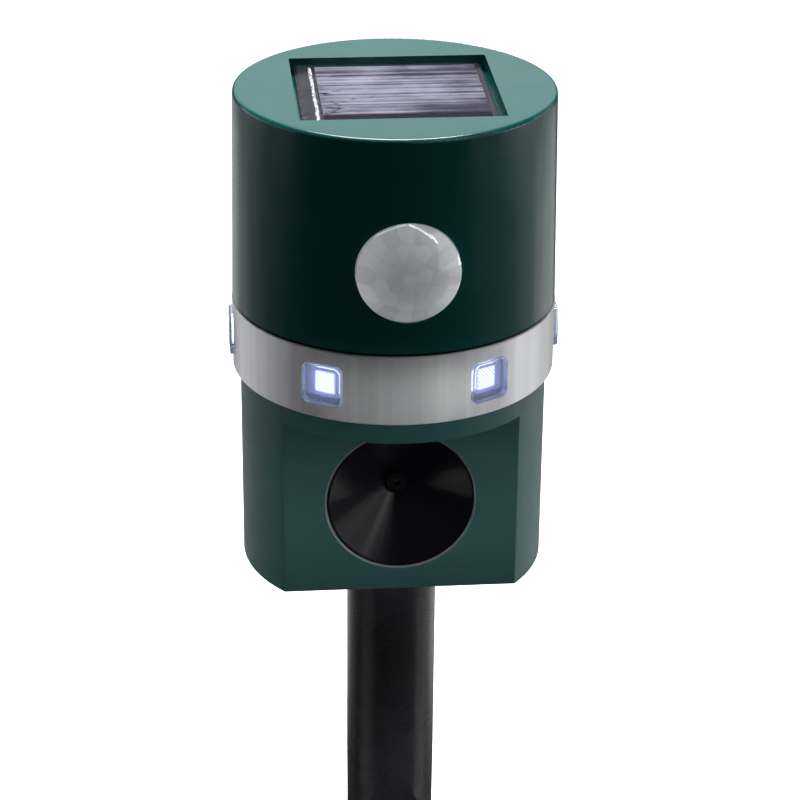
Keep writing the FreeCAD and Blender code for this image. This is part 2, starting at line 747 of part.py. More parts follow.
def make_horn():
    """Cone with a nub at its throat, and the piezo driver behind it."""
    face = ("0", "-flat_distance", HORN)
    slope = "(horn_depth - horn_start) / (horn_mouth - nub_radius)"
    back_start = "horn_start + horn_wall"
    flange_back = "horn_flange_front + horn_flange_wall"
    flange_inner = f"horn_mouth - ({flange_back} - ({back_start})) / ({slope})"
    skirt_depth = f"{back_start} + (horn_mouth - skirt_radius) * {slope}"
    skirt_inner = "skirt_radius - skirt_wall"
    skirt_inner_depth = f"{back_start} + (horn_mouth - ({skirt_inner})) * {slope}"
    throat = "1.5 * nub_radius"
    throat_depth = f"{back_start} + (horn_mouth - {throat}) * {slope}"
    outline = [("nub_bore", "horn_depth - nub_height"), ("nub_radius", "horn_depth - nub_height"),
               ("nub_radius", "horn_depth"), ("horn_mouth", "horn_start"), ("horn_radius", "horn_start"),
               ("horn_radius", "horn_flange_front"), ("horn_flange_radius", "horn_flange_front"),
               ("horn_flange_radius", flange_back), (flange_inner, flange_back),
               ("skirt_radius", skirt_depth), ("skirt_radius", "skirt_end"),
               (skirt_inner, "skirt_end"), (skirt_inner, skirt_inner_depth),
               (throat, throat_depth), ("nub_bore", "horn_back")]
    keep(turned("horn", outline, face, INWARD))

    keep(turned("piezo_disc", [("0", "skirt_end"), ("skirt_radius", "skirt_end"),
                               ("skirt_radius", "skirt_end + disc_wall"), ("0", "skirt_end + disc_wall")],
                face, INWARD))
    ceramic_front = "skirt_end + disc_wall"
    keep(turned("piezo_ceramic", [("0", ceramic_front), ("ceramic_radius", ceramic_front),
                                  ("ceramic_radius", ceramic_front + " + ceramic_wall"),
                                  ("0", ceramic_front + " + ceramic_wall")], face, INWARD))
    cap_bore = "cap_radius - cap_wall"
    cap_seat = cap_bore + " - cap_step"
    cap_floor = "cap_back - cap_wall"
    keep(turned("driver_cap", [("0", "cap_back"), ("cap_radius", "cap_back"), ("cap_radius", "cap_front"),
                               (cap_bore, "cap_front"), (cap_bore, ceramic_front),
                               (cap_seat, ceramic_front), (cap_seat, cap_floor),
                               ("0", cap_floor)], face, INWARD))

    seat = f"-flat_distance + {flange_back}"
    ring = cylinder("retainer_ring", "horn_flange_radius", "retainer_wall", ("0", seat, HORN), INWARD)
    ears = [cylinder(f"retainer_ear_{row}", "ear_radius", "retainer_wall", (x, seat + " + ear_step", z),
                     INWARD)
            for row, (x, z) in enumerate(horn_ear_places(), start=1)]
    bore = cylinder("retainer_bore", "retainer_bore", "3 * retainer_wall",
                    ("0", seat + " - cut_over", HORN), INWARD)
    holes = [cylinder(f"retainer_hole_{row}", "cover_screw_radius + screw_play", "3 * retainer_wall",
                      (x, seat + " - cut_over", z), INWARD)
             for row, (x, z) in enumerate(horn_ear_places(), start=1)]
    keep(cut("horn_retainer", join("retainer_solid", ring, *ears), bore, *holes))
    keep(group("horn_screws", [screw(f"horn_screw_{row}", "cover_screw_radius", "horn_screw_length",
                                     "horn_screw_head", "horn_screw_head_height",
                                     (x, seat + " + retainer_wall + ear_step", z), FORWARD)
                               for row, (x, z) in enumerate(horn_ear_places(), start=1)]))


def make_main_board():
    """Round board above the lower housing's posts, with its larger parts."""
    lift = "head_base + board_lift"
    disc = cylinder("board_disc", "board_radius", "board_parts_lift - board_lift", ("0", "0", lift))
    holes = at_screws("board_hole", lambda label, x, y: cylinder(
        label, "screw_radius + screw_play", "board_parts_lift - board_lift + 2 * cut_over",
        (x, y, lift + " - cut_over")))
    keep(cut("main_board", disc, *holes))
    top = "head_base + board_parts_lift"
    keep(plate("control_chip", "chip_side", "chip_side", "chip_height", "chip_corner",
               ("chip_across", "chip_along", top)))
    flange_foot = "coil_height - coil_flange"
    keep(turned("charge_coil", [("0", "0"), ("coil_radius", "0"), ("coil_radius", "coil_flange"),
                                ("coil_winding", "coil_flange"), ("coil_winding", flange_foot),
                                ("coil_radius", flange_foot), ("coil_radius", "coil_height"),
                                ("0", "coil_height")], ("coil_across", "coil_along", top)))
    keep(group("board_capacitors", [
        cylinder(f"capacitor_{row}", "capacitor_radius", "capacitor_height",
                 (f"capacitor_across + {step} * capacitor_pitch", "capacitor_along", top))
        for row, step in enumerate(CAPACITORS, start=1)]))


def make_battery():
    """Tray with three upright cells, their contacts, and the springs below them."""
    tray = block("tray_block", around("tray_width / 2"),
                 ("tray_centre - tray_length / 2", "tray_centre + tray_length / 2"),
                 ("head_base + base_wall", "head_base + tray_top"))
    places = [f"{step} * cell_spacing" for step in BATTERY_CELLS]
    wells = [cylinder(f"tray_well_{row}", "cell_radius + cell_play", "well_top",
                      (x, "tray_centre", "head_base")) for row, x in enumerate(places, start=1)]
    keep(cut("battery_tray", tray, *wells))
    nub_top = "cell_height + cell_nub_height"
    for row, x in enumerate(places, start=1):
        keep(turned(f"battery_cell_{row}", [("0", "0"), ("cell_radius", "0"), ("cell_radius", "cell_height"),
                                            ("cell_nub_radius", "cell_height"),
                                            ("cell_nub_radius", nub_top), ("0", nub_top)],
                    (x, "tray_centre", "head_base + cell_base")))
    plate_foot = "head_base + well_top - contact_wall - contact_gap"
    keep(group("contact_plates", [cylinder(f"contact_plate_{row}", "contact_radius", "contact_wall",
                                           (x, "tray_centre", plate_foot))
                                  for row, x in enumerate(places, start=1)]))
    helix = primitive("Helix", "spring_path", CENTRE, Radius="spring_radius", Pitch="spring_pitch",
                      Height="spring_height")
    wire = primitive("Circle", "spring_section", ("spring_radius", "0", "0"), FORWARD, Radius="spring_wire")
    spring = doc.addObject("Part::Sweep", "spring_coil")
    spring.Sections = [wire]
    spring.Spine = (helix, ["Edge1"])
    spring.Solid = True
    spring.Frenet = True
    keep(group("contact_springs", [moved_copy(f"contact_spring_{row}", spring,
                                              (x, "tray_centre", "head_base + spring_base"))
                                   for row, x in enumerate(places, start=1)]))


def cover_outline(label, grow, thickness, foot):
    """The battery cover's outline: a plate with an ear at each end, grown by a margin."""
    main = plate(label + "_plate", f"cover_width + 2 * {grow}", f"cover_length + 2 * {grow}", thickness,
                 f"cover_corner + {grow}", ("0", "tray_centre", foot))
    ears = plate(label + "_ears", f"cover_ears + 2 * {grow}", f"cover_ear_length + 2 * {grow}", thickness,
                 f"cover_ear_corner + {grow}", ("0", "tray_centre", foot))
    return join(label, main, ears)


def make_battery_cover():
    """Cover flush with the underside, its seal and its two screws."""
    plug = plate("cover_plug", "opening_width - 2 * cover_plug_play", "opening_length - 2 * cover_plug_play",
                 "cover_plug_top - cover_wall / 2", "opening_corner",
                 ("0", "tray_centre", "head_base + cover_wall / 2"))
    solid = join("cover_solid", cover_outline("cover_face", "0", "cover_wall", "head_base"), plug)
    places = [(f"{side} * cover_screw_across", "tray_centre") for side in SIDES]
    sinks = [cylinder(f"cover_sink_{row}", "cover_screw_head + screw_play",
                      "cover_screw_head_height + cut_over", (x, y, "head_base - cut_over"))
             for row, (x, y) in enumerate(places, start=1)]
    holes = [cylinder(f"cover_hole_{row}", "cover_screw_radius + screw_play",
                      "cover_plug_top + 2 * cut_over", (x, y, "head_base - cut_over"))
             for row, (x, y) in enumerate(places, start=1)]
    keep(cut("battery_cover", solid, *sinks, *holes))
    seal = plate("seal_plate", "cover_width - 2 * cover_seal_margin", "cover_length - 2 * cover_seal_margin",
                 "cover_rebate - cover_wall - 2 * cover_seal_gap", "cover_corner",
                 ("0", "tray_centre", "head_base + cover_wall + cover_seal_gap"))
    seal_hole = plate("seal_hole", "opening_width + 2 * cover_seal_inset",
                      "opening_length + 2 * cover_seal_inset", "cover_rebate", "opening_corner",
                      ("0", "tray_centre", "head_base + cover_wall / 2"))
    keep(cut("cover_seal", seal, seal_hole))
    keep(group("cover_screws", [screw(f"cover_screw_{row}", "cover_screw_radius", "cover_screw_length",
                                      "cover_screw_head", "cover_screw_head_height",
                                      (x, y, "head_base + cover_screw_head_height"))
                                for row, (x, y) in enumerate(places, start=1)]))


def make_dial():
    """Scalloped mode dial under the head, its pointer, its switch and the position marks."""
    under = ("dial_across", "dial_along", "head_base")
    outline = [("0", "-dial_height"), ("dial_radius - dial_chamfer", "-dial_height"),
               ("dial_radius", "-dial_height + dial_chamfer"), ("dial_radius", "-dial_gap - dial_chamfer"),
               ("dial_radius - dial_chamfer", "-dial_gap"), ("dial_stem_radius", "-dial_gap"),
               ("dial_stem_radius", "dial_stem_top"), ("0", "dial_stem_top")]
    knob = turned("dial_knob", outline)
    scallop = cylinder("dial_scallop", "dial_scallop_radius", "2 * dial_height",
                       ("dial_scallop_centre", "0", "-1.5 * dial_height"))
    scallops = [turned_copy(f"dial_scallop_{row + 1}", scallop, 360 / SCALLOPS * row)
                for row in range(SCALLOPS)]
    keep(place(cut("mode_dial", knob, *scallops), under))
    pointer = block("pointer_bar", ("dial_radius - dial_chamfer - pointer_length",
                                    "dial_radius - dial_chamfer - pointer_inset"),
                    around("pointer_width / 2"),
                    ("-dial_height - pointer_height", "-dial_height"))
    keep(place(group("dial_pointer", [pointer]), under, Rotation(Vector(0, 0, 1), DIAL_START)))
    mark = cylinder("dial_mark", "mark_radius", "mark_height", ("mark_reach", "0", "-mark_height"))
    marks = [turned_copy(f"dial_mark_{row + 1}", mark, DIAL_START + DIAL_STEP * row)
             for row in range(DIAL_POSITIONS)]
    keep(place(group("dial_marks", marks), under))

    case = plate("switch_case", "switch_side", "switch_side", "switch_top - switch_base", "switch_corner",
                 ("dial_across", "dial_along", "head_base + switch_base"))
    bore = cylinder("switch_bore", "dial_stem_radius + dial_play",
                    "dial_stem_top + dial_stem_space + cut_over",
                    ("dial_across", "dial_along", "head_base - cut_over"))
    keep(cut("dial_switch", case, bore))


def make_housing_screws():
    """The four screws that hold both housings and the main board together."""
    keep(group("housing_screws", at_screws("housing_screw", lambda label, x, y: screw(
        label, "screw_radius", "screw_length", "screw_head_radius", "screw_head_height",
        (x, y, "head_base + well_depth")))))


def check_and_write():
    """Stop if any object failed, then write each sub-part to its own file."""
    doc.recompute()
    failed = [item.Name for item in doc.Objects if {"Invalid", "Error"} & set(item.State)]
    empty = [piece.Label for piece in subparts if piece.Shape.isNull() or not piece.Shape.isValid()]
    if failed or empty:
        raise RuntimeError(f"failed objects: {failed}; bad shapes: {empty}")
    os.makedirs("parts", exist_ok=True)
    for piece in subparts:
        piece.Shape.exportStep(os.path.join("parts", piece.Label + ".step"))


make_sheet()
make_stake()
make_lower_housing()
make_upper_housing()
make_band()
make_lights()
make_panel()
make_sensor()
make_horn()
make_main_board()
make_battery()
make_battery_cover()
make_dial()
make_housing_screws()
check_and_write()
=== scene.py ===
import json
import math

import bmesh
import bpy
import numpy as np
from mathutils import Matrix, Vector


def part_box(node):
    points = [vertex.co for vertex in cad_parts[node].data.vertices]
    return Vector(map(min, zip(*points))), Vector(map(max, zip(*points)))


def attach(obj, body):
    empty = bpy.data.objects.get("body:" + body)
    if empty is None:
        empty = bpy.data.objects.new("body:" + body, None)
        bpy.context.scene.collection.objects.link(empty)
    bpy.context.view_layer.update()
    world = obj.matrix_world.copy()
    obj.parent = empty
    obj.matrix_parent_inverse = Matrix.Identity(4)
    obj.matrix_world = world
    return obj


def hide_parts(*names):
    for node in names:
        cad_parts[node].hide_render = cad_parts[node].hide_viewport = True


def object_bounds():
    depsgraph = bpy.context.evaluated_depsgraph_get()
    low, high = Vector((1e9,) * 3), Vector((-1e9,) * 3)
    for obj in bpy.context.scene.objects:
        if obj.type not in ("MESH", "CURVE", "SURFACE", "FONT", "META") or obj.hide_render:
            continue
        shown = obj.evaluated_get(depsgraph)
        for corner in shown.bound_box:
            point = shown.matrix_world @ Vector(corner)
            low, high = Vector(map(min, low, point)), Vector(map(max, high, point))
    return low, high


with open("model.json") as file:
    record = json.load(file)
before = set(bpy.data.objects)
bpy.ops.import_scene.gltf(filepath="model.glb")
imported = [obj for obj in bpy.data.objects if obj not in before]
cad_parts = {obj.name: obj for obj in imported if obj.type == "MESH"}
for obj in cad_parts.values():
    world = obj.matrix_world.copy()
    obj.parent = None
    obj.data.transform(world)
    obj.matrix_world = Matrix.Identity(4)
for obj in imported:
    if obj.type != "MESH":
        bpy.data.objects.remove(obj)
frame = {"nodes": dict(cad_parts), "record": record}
cad_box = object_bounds()

# Metres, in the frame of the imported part: the flat front faces -Y
MM = 0.001
NODES = frame["nodes"]
BODY_OF = {node: body for body, nodes in frame["record"]["behaviour"]["bodies"].items()
           for node in nodes}
SLOT_OF = {row["node"]: row["material_slot"] for row in frame["record"]["subparts"]}

HEAD_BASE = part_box("lower_housing")[0].z
FLAT_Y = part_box("horn")[0].y
HORN_HOLE = 21.75 * MM  # radius of the horn's opening in the flat, inside its chamfer
BAND_LOW, BAND_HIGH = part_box("light_band")
BAND_MIDDLE = (BAND_LOW.z + BAND_HIGH.z) / 2
BAND_RADIUS = BAND_HIGH.x
LIGHT_STEP = 60  # degrees from one light of the band to the next


# ---------------------------------------------------------------- camera, lights, floor

# Camera: metres from its target, degrees up, degrees to the left of the front, lens in mm
CAMERA_DISTANCE = 0.78923
CAMERA_ELEVATION = 25.0
CAMERA_TURN = 5.19
CAMERA_ROLL = 0.46
CAMERA_TARGET = (0, 0, HEAD_BASE + 0.0479)
CAMERA_LENS = 118.41
CAMERA_SENSOR = 36
CAMERA_SHIFT = 0.0093

# Heights on the object's axis that lamps aim at
PANEL_AIM = 0.12
STRIP_AIM = 0.15
HOUSING_AIM = 0.097
BAND_AIM = 0.146
STAKE_AIM = 0.0
POINT_AIM = -0.1

# Soft panels round the object: elevation, panel width, then the power at each azimuth
PANELS = [(-42, 0.5, {-70: 0.2, 82: 0.32}),
          (-24, 0.36, {-160: 0.35, -140: 0.22, -120: 0.12, -100: 0.04, 65: 0.04, 80: 0.03,
                       100: 0.2, 120: 0.44, 140: 0.36}),
          (2, 0.5, {-120: 1.1, -90: 0.7, 60: 0.4, 90: 2.0, 120: 0.5}),
          (27, 0.48, {60: 0.4}),
          (27, 1.4, {180: 1.8}),
          (74, 0.6, {180: 22.0}),
          (-65, 0.6, {180: 2.0})]
PANEL_HEIGHT = 0.42
PANEL_DISTANCE = 1.0

# Azimuth and elevation of the ends of the two long lamps, and of the small glints
STRIP_ENDS = (7, 58), (49, 25)
LEFT_STRIP_ENDS = (-62, 24), (2, 58)
GLINTS = (65, 36), (-65, 19)

# Narrow lamps: their elevation, distance and faces, then the power at each azimuth
NARROW_ELEVATION = 5
NARROW_DISTANCE = 0.6
WIDE_FACE = (0.2, 0.05)
BAND_FACE = (0.1, 0.01)
HOUSING_FILL = {-32: 0.0041, -12: 0.0039, 8: 0.0047, 28: 0.0059, 48: 0.0066}
BAND_FILL = {-34: 0.0003, -15: 0.00015, 4: 0.00024, 23: 0.0005, 42: 0.00042}
STAKE_FILL = {10: 0.012}
POINT_FILL = {10: 0.02, 130: 0.02, 250: 0.02}


def aim(thing, target, roll=0.0):
    """Turn a camera or lamp so that it looks at the target, then roll it about its own axis."""
    turn = (Vector(target) - thing.location).to_track_quat("-Z", "Y")
    thing.rotation_euler = (turn.to_matrix() @ Matrix.Rotation(roll, 3, "Z")).to_euler()


def make_camera():
    """A long lens a little above the object, with the object's front turned slightly aside."""
    elevation, turned = math.radians(CAMERA_ELEVATION), math.radians(CAMERA_TURN)
    data = bpy.data.cameras.new("camera")
    data.lens = CAMERA_LENS
    data.sensor_width = CAMERA_SENSOR
    data.shift_x = CAMERA_SHIFT
    camera = bpy.data.objects.new("camera", data)
    bpy.context.scene.collection.objects.link(camera)
    level = CAMERA_DISTANCE * math.cos(elevation)
    camera.location = Vector(CAMERA_TARGET) + Vector((-level * math.sin(turned),
                                                      -level * math.cos(turned),
                                                      CAMERA_DISTANCE * math.sin(elevation)))
    aim(camera, CAMERA_TARGET, math.radians(CAMERA_ROLL))
    bpy.context.scene.camera = camera


def place_round(azimuth, elevation, distance, height):
    """A point at a direction and distance from a height on the axis, azimuth 90 on the right."""
    side, up = math.radians(azimuth), math.radians(elevation)
    direction = Vector((math.sin(side) * math.cos(up), -math.cos(side) * math.cos(up),
                        math.sin(up)))
    return Vector((0, 0, height)) + distance * direction


def area_light(name, azimuth, elevation, distance, size, power, height=PANEL_AIM):
    """A soft rectangular lamp aimed at a height on the axis. Azimuth 0 is the front."""
    data = bpy.data.lights.new(name, "AREA")
    data.shape = "RECTANGLE"
    data.size, data.size_y = size
    data.energy = power
    lamp = bpy.data.objects.new(name, data)
    bpy.context.scene.collection.objects.link(lamp)
    lamp.location = place_round(azimuth, elevation, distance, height)
    aim(lamp, (0, 0, height))
    lamp.visible_camera = False
    return lamp


def strip_light(name, ends, distance, width, power):
    """A long lamp between two directions, aimed at the head."""
    start, end = (place_round(*direction, distance, STRIP_AIM) for direction in ends)
    lamp = area_light(name, 0, 0, distance, ((end - start).length, width), power)
    lamp.location = (start + end) / 2
    long = (end - start).normalized()
    back = lamp.location - Vector((0, 0, STRIP_AIM))
    back = (back - back.dot(long) * long).normalized()
    lamp.rotation_euler = Matrix((long, back.cross(long), back)).transposed().to_euler()


def narrow_light(name, azimuth, height, size, power, spread):
    """A lamp whose light stays within a few degrees, aimed at one height on the object."""
    lamp = area_light(name, azimuth, NARROW_ELEVATION, NARROW_DISTANCE, size, power, height)
    lamp.data.spread = math.radians(spread)


def make_lights():
    """Panels all round, long lamps for the glints on the cap, and narrow lamps from the front."""
    for elevation, width, powers in PANELS:
        for azimuth, power in powers.items():
            area_light("panel", azimuth, elevation, PANEL_DISTANCE, (width, PANEL_HEIGHT), power)
    strip_light("strip", STRIP_ENDS, distance=0.9, width=0.045, power=0.36)
    strip_light("strip_halo", STRIP_ENDS, distance=0.95, width=0.22, power=0.035)
    strip_light("left_strip", LEFT_STRIP_ENDS, distance=0.9, width=0.02, power=0.12)
    for azimuth, elevation in GLINTS:
        area_light("glint", azimuth, elevation, distance=0.9, size=(0.03, 0.03), power=0.04)
    for name, powers, height, size, spread in (
            ("housing_fill", HOUSING_FILL, HOUSING_AIM, WIDE_FACE, 10),
            ("band_fill", BAND_FILL, BAND_AIM, BAND_FACE, 3),
            ("stake_fill", STAKE_FILL, STAKE_AIM, WIDE_FACE, 7.5),
            ("point_fill", POINT_FILL, POINT_AIM, WIDE_FACE, 8)):
        for azimuth, power in powers.items():
            narrow_light(name, azimuth, height, size, power, spread)


def make_world():
    """A faint even light from everywhere."""
    world = bpy.data.worlds.new("studio")
    world.use_nodes = True
    background = world.node_tree.nodes["Background"]
    background.inputs["Color"].default_value = (1, 1, 1, 1)
    background.inputs["Strength"].default_value = 0.02
    bpy.context.scene.world = world
    bpy.context.scene.view_settings.view_transform = "Standard"


def make_floor():
    """A plain pale floor just below the stake's point."""
    bpy.ops.mesh.primitive_plane_add(size=12, location=(0, 0, cad_box[0][2] - 1 * MM))
    floor = bpy.context.active_object
    floor.name = "floor"
    look = Look("floor_paint", {"Roughness": 0.9, "Emission Color": (1, 1, 1, 1),
                                "Emission Strength": 0.97})
    tone = look.blend(look.noise(3), (0.89, 0.89, 0.89, 1), (0.91, 0.91, 0.91, 1))
    look.feed("Base Color", tone)
    floor.data.materials.append(look.material)
    floor.visible_glossy = False
    floor.visible_diffuse = False
    floor.visible_shadow = False


# ---------------------------------------------------------------- materials

class Look:
    """A node material: one Principled surface and the textures that feed it."""

    def __init__(self, name, values):
        self.material = bpy.data.materials.new(name)
        self.material.use_nodes = True
        self.tree = self.material.node_tree
        self.surface = self.tree.nodes["Principled BSDF"]
        for socket, value in values.items():
            self.surface.inputs[socket].default_value = value
        self.place = self.node("ShaderNodeTexCoord").outputs["Object"]

    def node(self, kind, inputs=None, **settings):
        node = self.tree.nodes.new(kind)
        for name, value in settings.items():
            setattr(node, name, value)
        for socket, value in (inputs or {}).items():
            if isinstance(value, bpy.types.NodeSocket):
                self.tree.links.new(value, node.inputs[socket])
            else:
                node.inputs[socket].default_value = value
        return node

    def feed(self, socket, output):
        self.tree.links.new(output, self.surface.inputs[socket])

    def noise(self, scale, detail=2.0, rough=0.5, place=None):
        inputs = {"Vector": place or self.place, "Scale": scale, "Detail": detail,
                  "Roughness": rough}
        return self.node("ShaderNodeTexNoise", inputs).outputs["Fac"]

    def math(self, operation, first, second=0.0):
        return self.node("ShaderNodeMath", {0: first, 1: second}, operation=operation).outputs[0]

    def length(self, vector):
        return self.node("ShaderNodeVectorMath", {0: vector}, operation="LENGTH").outputs["Value"]

    def spread(self, value, start, end, low=0.0, high=1.0):
        """Map the part of value between start and end onto low to high, clamped."""
        inputs = {"Value": value, "From Min": start, "From Max": end, "To Min": low,
                  "To Max": high}
        return self.node("ShaderNodeMapRange", inputs).outputs["Result"]

    def vary(self, texture, low=0.0, high=1.0):
        """Map the usual range of a noise onto low to high."""
        return self.spread(texture, 0.3, 0.7, low, high)

    def blend(self, factor, low, high):
        node = self.node("ShaderNodeMix", {"Factor": factor, 6: low, 7: high}, data_type="RGBA")
        return node.outputs[2]

    def axis(self, name, place=None):
        return self.node("ShaderNodeSeparateXYZ", {"Vector": place or self.place}).outputs[name]

    def vector(self, across, along=0.0, up=0.0):
        inputs = {"X": across, "Y": along, "Z": up}
        return self.node("ShaderNodeCombineXYZ", inputs).outputs["Vector"]

    def stretched(self, scale):
        inputs = {"Vector": self.place, "Scale": scale}
        return self.node("ShaderNodeMapping", inputs).outputs["Vector"]

    def angle(self):
        """The angle about the head's axis in radians, 0 at the front."""
        return self.math("ARCTAN2", self.axis("X"), self.math("MULTIPLY", self.axis("Y"), -1))

    def across_and_up(self, node):
        """Distances to the right of and above the centre of a CAD node."""
        low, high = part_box(node)
        return (self.math("SUBTRACT", self.axis("X"), (low.x + high.x) / 2),
                self.math("SUBTRACT", self.axis("Z"), (low.z + high.z) / 2))

    def bump(self, height, depth):
        """Let a 0 to 1 height raise the surface by depth metres."""
        inputs = {"Height": height, "Distance": depth}
        self.feed("Normal", self.node("ShaderNodeBump", inputs).outputs["Normal"])


def moulded(name, dark, light, rough, grain=2600, depth=0.01, **values):
    """Moulded plastic: a fine grain, and slow changes of tone and gloss."""
    look = Look(name, values)
    slow = look.noise(28, 3)
    fine = look.noise(grain, 2, 0.6)
    look.feed("Base Color", look.blend(look.vary(slow), dark, light))
    gloss = look.math("ADD", look.vary(look.noise(90, 4), rough[0], rough[1]),
                      look.vary(fine, -0.02, 0.02))
    look.feed("Roughness", gloss)
    look.bump(fine, depth * MM)
    return look


def green_cap():
    """Smooth green plastic, with a painted shadow along the edge that meets the band: a dark,
    less glossy line where the gap below it is in shade.
    """
    look = moulded("green_cap", (0.0018, 0.07, 0.067, 1), (0.0022, 0.076, 0.073, 1), (0.2, 0.25),
                   grain=2400, depth=0.008)
    # Painted shadow of the gap to the band: near-black and less glossy up to just above the cap's
    # lower edge
    gap_shadow_top, gap_shadow_end = BAND_HIGH.z + 0.75 * MM, BAND_HIGH.z + 1.3 * MM
    past_gap_shadow = look.spread(look.axis("Z"), gap_shadow_top, gap_shadow_end)
    plain = look.surface.inputs["Base Color"].links[0].from_socket
    look.feed("Base Color", look.blend(past_gap_shadow, (0.0005, 0.001, 0.0015, 1), plain))
    look.feed("Specular IOR Level", look.spread(past_gap_shadow, 0, 1, 0.05, 0.4))
    return look.material


def green_lower():
    """The same plastic with a spark-eroded texture on its round sides, a finer one on the flat,
    and a painted highlight: a pale tone on the chamfer round the horn's opening. The pale tone
    is bounded only by its distance from the horn's axis, so a disc of it also shows on the
    housing's back."""
    look = Look("green_lower", {"Specular IOR Level": 0.65})
    slow = look.vary(look.noise(26, 3))
    behind = look.math("ABSOLUTE", look.math("SUBTRACT", look.axis("Y"), FLAT_Y))
    off_flat = look.spread(behind, 0.3 * MM, 1 * MM)
    plain = look.blend(slow, (0.011, 0.06, 0.058, 1), (0.013, 0.066, 0.064, 1))
    across, up = look.across_and_up("horn")
    reach = look.length(look.vector(across, 0.0, up))
    # Painted highlight: the chamfer round the horn's opening is pale, as if catching the light
    chamfer_highlight = look.spread(reach, HORN_HOLE + 0.35 * MM, HORN_HOLE + 0.6 * MM, 1, 0)
    shade = look.blend(off_flat, plain, (0.013, 0.084, 0.081, 1))
    look.feed("Base Color", look.blend(chamfer_highlight, shade, (0.15, 0.18, 0.175, 1)))
    round_side = look.spread(look.axis("Y"), FLAT_Y + 0.2 * MM, FLAT_Y + 1.2 * MM)
    coarse = look.noise(1500, 3, 0.7)
    fine = look.noise(2600, 2, 0.6)
    depth = look.spread(round_side, 0, 1, 0.25, 1)
    grain = look.math("ADD", coarse, look.math("MULTIPLY", fine, 0.6))
    look.feed("Roughness", look.math("ADD", look.spread(round_side, 0, 1, 0.4, 0.5),
                                     look.vary(look.noise(110, 4), -0.03, 0.03)))
    look.bump(look.math("MULTIPLY", grain, depth), 0.05 * MM)
    return look.material


def silver_band():
    """Satin silver, brushed round the ring, with painted dark reflection streaks that run up the
    band.
    """
    look = Look("silver_band", {"Metallic": 1.0, "Anisotropic": 0.75,
                                "Anisotropic Rotation": 0.25})
    round_axis = look.node("ShaderNodeTangent", direction_type="RADIAL", axis="Z")
    look.feed("Tangent", round_axis.outputs["Tangent"])
    along = look.math("MULTIPLY", look.angle(), BAND_RADIUS * 0.04)
    wrapped = look.vector(along, 0.0, look.axis("Z"))
    lines = look.noise(2600, 4, 0.7, wrapped)
    slow = look.vary(look.noise(40, 3))
    tone = look.math("ADD", look.math("MULTIPLY", lines, 0.4), look.math("MULTIPLY", slow, 0.6))
    plain = look.blend(tone, (0.74, 0.745, 0.765, 1), (0.84, 0.845, 0.865, 1))
    # Painted reflection: darker streaks up the band at random places round it, where a brushed
    # ring would mirror dark surroundings
    dark_reflection_streaks = look.spread(look.noise(7.5, 3, 0.6, look.vector(look.angle())), 0.35, 0.65, 0.32, 0)
    look.feed("Base Color", look.blend(dark_reflection_streaks, plain, (0.45, 0.455, 0.47, 1)))
    look.feed("Roughness", look.vary(lines, 0.5, 0.6))
    look.bump(lines, 0.004 * MM)
    return look.material


def light_place(look):
    """Distance round the ring and up from the centre of the nearest light window."""
    turns = look.math("ADD", look.math("DEGREES", look.angle()), 360.0)
    degrees = look.math("SUBTRACT", look.math("MODULO", turns, LIGHT_STEP), LIGHT_STEP / 2)
    across = look.math("MULTIPLY", look.math("RADIANS", degrees), BAND_RADIUS)
    return across, look.math("SUBTRACT", look.axis("Z"), BAND_MIDDLE)


def clear_window():
    """Clear moulded block with a lavender tint, a painted glow round the light behind it, and
    paler sides where it stands proud of the band."""
    look = Look("clear_window", {"Transmission Weight": 0.9, "IOR": 1.49, "Coat Weight": 0.3})
    across, up = light_place(look)
    square = look.math("MAXIMUM", look.math("ABSOLUTE", across), look.math("ABSOLUTE", up))
    near = look.spread(square, 2.6 * MM, 6.2 * MM, 1, 0)
    radial = look.vector(look.axis("X"), look.axis("Y"))
    outward = look.node("ShaderNodeVectorMath", {0: radial}, operation="NORMALIZE")
    normal = look.node("ShaderNodeNewGeometry").outputs["True Normal"]
    facing = look.node("ShaderNodeVectorMath", {0: outward.outputs["Vector"], 1: normal},
                       operation="DOT_PRODUCT").outputs["Value"]
    proud = look.spread(look.length(radial), BAND_RADIUS - 0.1 * MM, BAND_RADIUS + 0.1 * MM)
    sideways = look.spread(look.math("ABSOLUTE", facing), 0.3, 0.6, 1, 0)
    flank = look.math("MULTIPLY", sideways, proud)
    tint = look.blend(near, (0.6, 0.67, 0.8, 1), (0.56, 0.61, 0.86, 1))
    look.feed("Base Color", look.blend(flank, tint, (0.93, 0.95, 0.98, 1)))
    look.feed("Roughness", look.vary(look.noise(500, 3), 0.08, 0.16))
    # Painted glow: the block itself emits light near the light behind it, much less on its proud
    # sides
    look.feed("Emission Color", look.blend(near, (0.32, 0.4, 0.55, 1), (0.3, 0.34, 0.8, 1)))
    look.feed("Emission Strength", look.math("MULTIPLY", look.spread(near, 0, 1, 0.09, 0.2),
                                             look.spread(flank, 0, 1, 1, 0.1)))
    look.bump(look.noise(260, 2), 0.01 * MM)
    return look.material


def white_light():
    """Phosphor face of a light: white, with fine slanted lines and an uneven edge."""
    look = Look("white_light", {"Base Color": (0.95, 0.96, 1, 1), "Roughness": 0.5})
    across, up = light_place(look)
    slanted = look.vector(look.math("ADD", across, up))
    lines = look.node("ShaderNodeTexWave", {"Vector": slanted, "Scale": 270, "Distortion": 2.0,
                                            "Detail Scale": 2.0}).outputs["Fac"]
    square = look.math("MAXIMUM", look.math("ABSOLUTE", across), look.math("ABSOLUTE", up))
    ragged = look.math("ADD", square, look.math("MULTIPLY", look.noise(1400, 2), 0.7 * MM))
    body = look.spread(ragged, 3.35 * MM, 3.55 * MM, 1, 0.3)
    look.feed("Emission Color", look.blend(lines, (0.56, 0.56, 1, 1), (1, 1, 1, 1)))
    strength = look.spread(lines, 0.3, 0.6, 0.8, 2.4)
    look.feed("Emission Strength", look.math("MULTIPLY", strength, body))
    return look.material


